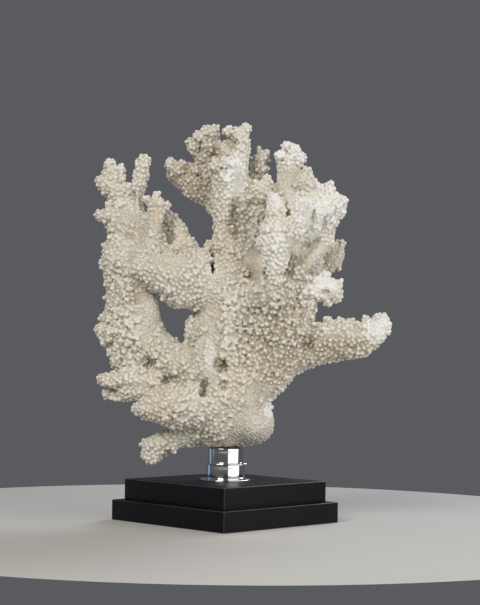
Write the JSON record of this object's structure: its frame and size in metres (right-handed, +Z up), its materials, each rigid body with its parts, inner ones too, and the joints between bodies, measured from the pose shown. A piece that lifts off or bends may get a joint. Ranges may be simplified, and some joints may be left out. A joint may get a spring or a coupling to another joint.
{
  "type": "branching coral on a stand",
  "caption": "White branching coral with knobbly limbs, seated on a turned chrome neck and a black two-tier square plinth.",
  "frame": {"origin": "middle of the plinth's underside", "axes": "+Z up; X and Y along the plinth's sides; the coral's broad side faces the plinth's corner between +X and -Y"},
  "size_m": [0.2363, 0.2178, 0.381],
  "materials": {
    "plinth": "satin black paint",
    "neck": "polished",
    "coral": "dry, chalky and nodular"
  },
  "bodies": {
    "root": {"plinth_lower": "plinth", "plinth_upper": "plinth", "neck_lower": "neck", "neck_upper": "neck", "coral_trunk": "coral", "coral_right_limb": "coral", "coral_left_limb": "coral", "coral_saddle_arm": "coral", "coral_left_fan": "coral", "coral_left_stub": "coral", "coral_left_paddle": "coral", "coral_left_finger": "coral", "coral_left_spur": "coral", "coral_left_fork": "coral", "coral_low_fan": "coral", "coral_low_finger": "coral", "coral_column": "coral", "coral_side_knob": "coral", "coral_top_fan": "coral", "coral_slant_finger": "coral", "coral_middle_fork": "coral", "coral_twin_lobe": "coral", "coral_front_lobe": "coral", "coral_right_fan": "coral", "coral_high_lobe": "coral", "coral_paddle": "coral", "coral_right_stub": "coral", "coral_right_arm": "coral", "coral_back_right_fan": "coral", "coral_back_left_branch": "coral", "coral_back_low_branch": "coral", "coral_back_right_branch": "coral", "coral_back_top_branch": "coral", "coral_back_side_branch": "coral"}
  },
  "joints": []
}
